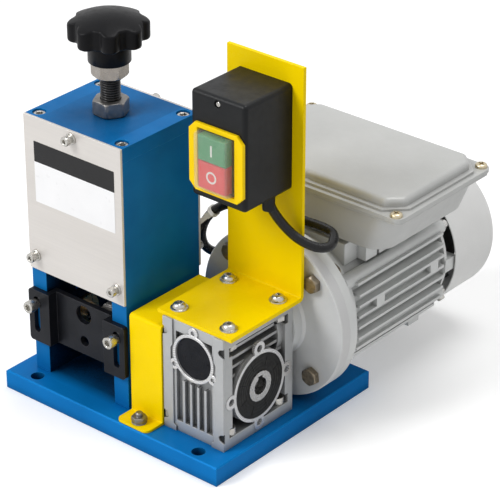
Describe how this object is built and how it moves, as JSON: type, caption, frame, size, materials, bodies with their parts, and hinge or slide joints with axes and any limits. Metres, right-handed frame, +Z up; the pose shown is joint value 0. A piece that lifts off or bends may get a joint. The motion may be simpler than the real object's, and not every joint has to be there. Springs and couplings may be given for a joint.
{
  "type": "electric wire stripping machine",
  "caption": "Bench wire stripper: a hollow-shaft worm gear motor turns a knurled roller under a round blade set by a star knob, with a sliding wire guide and a push-button switch.",
  "frame": {"origin": "centre of the base plate's underside", "axes": "+Z up, wire goes in from -Y, motor stands out behind towards +Y, tower on the -X side"},
  "size_m": [0.273, 0.33, 0.322],
  "materials": {
    "blue_plate": "blue anodised",
    "silver_cover": "brushed",
    "bare_aluminium": "machined",
    "screw_steel": "zinc plated",
    "black_steel": "black, satin",
    "ground_steel": "ground",
    "knob_plastic": "satin",
    "bronze": "turned",
    "gearbox_grey": "painted, satin",
    "motor_grey": "painted, satin",
    "cowl_grey": "painted, satin",
    "seal_rubber": "matte",
    "lamination": "bare",
    "fan_plastic": "matte",
    "yellow_sheet": "gloss",
    "switch_black": "satin",
    "bezel_yellow": "gloss",
    "clear_cover": "clear soft plastic",
    "button_green": "gloss",
    "button_red": "gloss",
    "capacitor_white": "matte",
    "lead_black": "satin",
    "tie_white": "matte"
  },
  "bodies": {
    "frame": {"base_plate": "blue_plate", "left_side_plate": "blue_plate", "right_side_plate": "blue_plate", "top_plate": "blue_plate", "top_plate_screws": "screw_steel", "base_screws": "screw_steel", "front_cover": "silver_cover", "rear_cover": "silver_cover", "cover_screws": "screw_steel", "guide_screws": "screw_steel", "shaft_bushes": "bronze", "gearbox_housing": "gearbox_grey", "output_cover": "gearbox_grey", "output_seals": "seal_rubber", "gearbox_bearings": "ground_steel", "worm_end_cap": "seal_rubber", "input_flange": "gearbox_grey", "input_flange_screws": "screw_steel", "flange_bolts": "screw_steel", "motor_front_shield": "motor_grey", "motor_housing": "motor_grey", "motor_rear_shield": "motor_grey", "tie_bolts": "screw_steel", "stator": "lamination", "motor_bearings": "ground_steel", "fan_cover": "cowl_grey", "fan_cover_screws": "screw_steel", "terminal_box": "motor_grey", "terminal_box_lid": "motor_grey", "lid_screws": "screw_steel", "capacitor": "capacitor_white", "switch_bracket": "yellow_sheet", "bracket_screws": "screw_steel", "shaft_guard": "yellow_sheet", "switch_box": "switch_black", "switch_bezel": "bezel_yellow", "switch_cover": "clear_cover", "switch_module": "switch_black", "cable_glands": "switch_black", "switch_lead": "lead_black", "cable_tie": "tie_white"},
    "guide": {"guide_plate": "black_steel"},
    "carrier": {"blade_carrier": "bare_aluminium", "blade_axle": "ground_steel", "spindle_retainer": "ground_steel"},
    "blade": {"cutting_blade": "ground_steel"},
    "knob_and_spindle": {"spindle": "ground_steel", "knob_jam_nut": "screw_steel", "adjusting_knob": "knob_plastic"},
    "spindle_lock": {"lock_nut": "screw_steel"},
    "motor_rotor": {"worm_shaft": "ground_steel", "rotor": "lamination", "motor_shaft": "ground_steel", "fan": "fan_plastic"},
    "feed": {"drive_shaft": "ground_steel", "feed_roller": "ground_steel", "hollow_output_shaft": "ground_steel", "worm_wheel": "bronze"},
    "start": {"start_button": "button_green"},
    "stop": {"stop_button": "button_red"}
  },
  "joints": [
    {"name": "guide_slide", "type": "slide", "parent": "frame", "child": "guide", "axis": [0, 0, 1], "range_m": [-0.0025, 0.017]},
    {"name": "knob_turn", "type": "hinge", "parent": "carrier", "child": "knob_and_spindle", "pos_m": [-0.046, -0.031, 0.17], "axis": [0, 0, 1], "range_deg": [-3060, 1440]},
    {"name": "blade_lift", "type": "slide", "parent": "frame", "child": "carrier", "axis": [0, 0, 1], "range_m": [-0.017, 0.008]},
    {"name": "blade_spin", "type": "hinge", "parent": "carrier", "child": "blade", "pos_m": [-0.046, -0.031, 0.1175], "axis": [1, 0, 0], "continuous": true},
    {"name": "lock_nut_turn", "type": "hinge", "parent": "frame", "child": "spindle_lock", "pos_m": [-0.046, -0.031, 0.246], "axis": [0, 0, 1], "range_deg": [0, 90]},
    {"name": "motor_spin", "type": "hinge", "parent": "frame", "child": "motor_rotor", "pos_m": [0.0705, 0.05, 0.086], "axis": [0, 1, 0], "continuous": true},
    {"name": "feed_spin", "type": "hinge", "parent": "frame", "child": "feed", "pos_m": [-0.046, -0.031, 0.056], "axis": [1, 0, 0], "continuous": true},
    {"name": "start_press", "type": "slide", "parent": "frame", "child": "start", "axis": [0, 1, 0], "range_m": [0, 0.003], "stiffness_N_per_m": 400, "springref_m": -0.002},
    {"name": "stop_press", "type": "slide", "parent": "frame", "child": "stop", "axis": [0, 1, 0], "range_m": [0, 0.003], "stiffness_N_per_m": 400, "springref_m": -0.002}
  ],
  "couplings": [
    {"joint": "knob_turn", "follows": "blade_lift", "rad_per_m": 3141.6},
    {"joint": "feed_spin", "follows": "motor_spin", "ratio": 0.066667}
  ]
}
